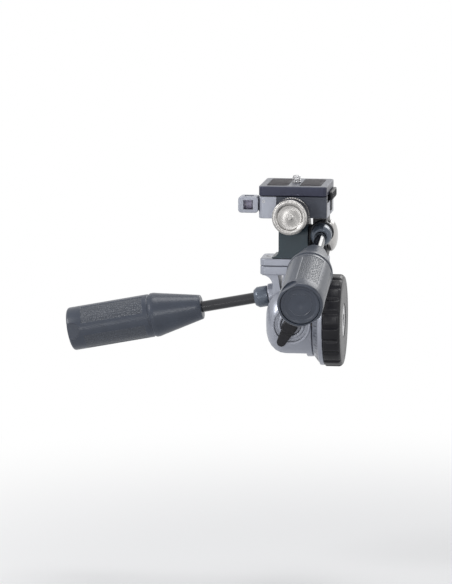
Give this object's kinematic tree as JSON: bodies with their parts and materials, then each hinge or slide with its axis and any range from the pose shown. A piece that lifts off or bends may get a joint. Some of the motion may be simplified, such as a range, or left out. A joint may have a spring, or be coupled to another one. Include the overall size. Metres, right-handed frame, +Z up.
{
  "type": "three-way pan head",
  "caption": "Three-way pan head with a round base, a tilting arm, a side tilt bracket, and a dovetail camera clamp with its plate, steered by handles that lock the tilts.",
  "frame": {"origin": "centre of the mounting face, at the mouth of the screw socket", "axes": "+X points out of the mounting face along the pan axis, +Z points up to the level camera plate at rest, and the tilt axis is parallel to Y"},
  "size_m": [0.2034, 0.1945, 0.1377],
  "materials": {
    "silver_paint": "painted, satin",
    "turned_aluminium": "turned",
    "black_plastic": "satin",
    "black_casting": "painted, satin",
    "teal_casting": "painted, satin",
    "slate_casting": "painted, satin",
    "navy_anodised": "anodised",
    "grip_rubber": "matt",
    "pad_rubber": "matt",
    "black_rod": "gloss",
    "steel": "brushed",
    "brass": "satin",
    "nylon": "matt",
    "vial_acrylic": "clear"
  },
  "bodies": {
    "base": {"base_disc": "black_plastic", "pan_spindle": "steel", "pan_scale_ring": "silver_paint", "pan_nut": "steel", "spindle_set_screw_1": "steel", "spindle_set_screw_2": "steel", "spindle_set_screw_3": "steel"},
    "pan_head": {"pan_housing": "silver_paint", "pan_bush": "brass", "pan_washer": "nylon", "tilt_axle": "steel", "axle_cover": "black_plastic", "pan_lock_collar": "silver_paint", "pan_brake_pin": "brass"},
    "pan_lock": {"pan_lock_knob": "black_plastic", "pan_lock_stud": "steel"},
    "tilt_head": {"tilt_arm": "silver_paint", "neck_flange": "silver_paint", "neck": "teal_casting", "flip_axle": "steel", "flip_washer": "nylon", "flip_cap": "turned_aluminium", "tilt_washer_1": "nylon", "tilt_washer_2": "nylon", "band_screw_1": "steel", "band_screw_2": "steel", "neck_screw_1": "steel", "neck_screw_2": "steel"},
    "tilt_handle": {"tilt_handle_rod": "black_rod", "tilt_handle_ferrule": "silver_paint", "tilt_handle_grip": "grip_rubber", "tilt_handle_cap": "grip_rubber"},
    "camera_clamp": {"flip_bracket": "black_casting", "clamp_platform": "silver_paint", "level_housing": "silver_paint", "level_vial": "vial_acrylic", "platform_screw_1": "steel", "platform_screw_2": "steel"},
    "flip_handle": {"flip_handle_rod": "black_rod", "flip_handle_ferrule": "silver_paint", "flip_handle_grip": "grip_rubber", "flip_handle_cap": "grip_rubber"},
    "jaw": {"clamp_jaw": "slate_casting", "jaw_pin_1": "steel", "jaw_pin_2": "steel"},
    "jaw_knob": {"clamp_knob": "turned_aluminium", "clamp_stud": "steel"},
    "latch": {"safety_latch": "black_plastic"},
    "camera_plate": {"shoe_plate": "navy_anodised", "camera_screw_clip": "steel", "shoe_pad_1": "pad_rubber", "shoe_pad_2": "pad_rubber"},
    "plate_screw": {"camera_screw": "steel"}
  },
  "joints": [
    {"name": "pan_turn", "type": "hinge", "parent": "base", "child": "pan_head", "pos_m": [-0.0355, 0, 0], "axis": [1, 0, 0], "continuous": true},
    {"name": "pan_lock_turn", "type": "hinge", "parent": "pan_head", "child": "pan_lock", "pos_m": [-0.0355, -0.0276, 0], "axis": [0, -1, 0], "range_deg": [0, 180]},
    {"name": "tilt", "type": "hinge", "parent": "pan_head", "child": "tilt_head", "pos_m": [-0.0355, 0, 0], "axis": [0, 1, 0], "range_deg": [-120, 0]},
    {"name": "tilt_handle_twist", "type": "hinge", "parent": "tilt_head", "child": "tilt_handle", "pos_m": [-0.054, 0, 0.0172], "axis": [-0.9823, 0, -0.1874], "range_deg": [0, 120]},
    {"name": "side_tilt", "type": "hinge", "parent": "tilt_head", "child": "camera_clamp", "pos_m": [-0.0234, 0, 0.0615], "axis": [1, 0, 0], "range_deg": [-90, 30]},
    {"name": "side_tilt_handle_twist", "type": "hinge", "parent": "camera_clamp", "child": "flip_handle", "pos_m": [-0.0147, -0.0136, 0.0653], "axis": [0, -0.9781, -0.2079], "range_deg": [0, 120]},
    {"name": "jaw_slide", "type": "slide", "parent": "camera_clamp", "child": "jaw", "axis": [0, -1, 0], "range_m": [0, 0.003]},
    {"name": "jaw_knob_turn", "type": "hinge", "parent": "jaw", "child": "jaw_knob", "pos_m": [-0.0346, -0.0263, 0.0796], "axis": [0, -1, 0], "range_deg": [0, 1080]},
    {"name": "latch_press", "type": "slide", "parent": "camera_clamp", "child": "latch", "axis": [0, 0, -1], "range_m": [0, 0.0026], "stiffness_N_per_m": 200, "springref_m": -0.004},
    {"name": "plate_slide", "type": "slide", "parent": "camera_clamp", "child": "camera_plate", "axis": [1, 0, 0], "range_m": [-0.0055, 0]},
    {"name": "camera_screw_turn", "type": "hinge", "parent": "camera_plate", "child": "plate_screw", "pos_m": [-0.0346, 0, 0.0994], "axis": [0, 0, 1], "continuous": true}
  ],
  "couplings": [
    {"joint": "jaw_knob_turn", "follows": "jaw_slide", "rad_per_m": 6283}
  ]
}
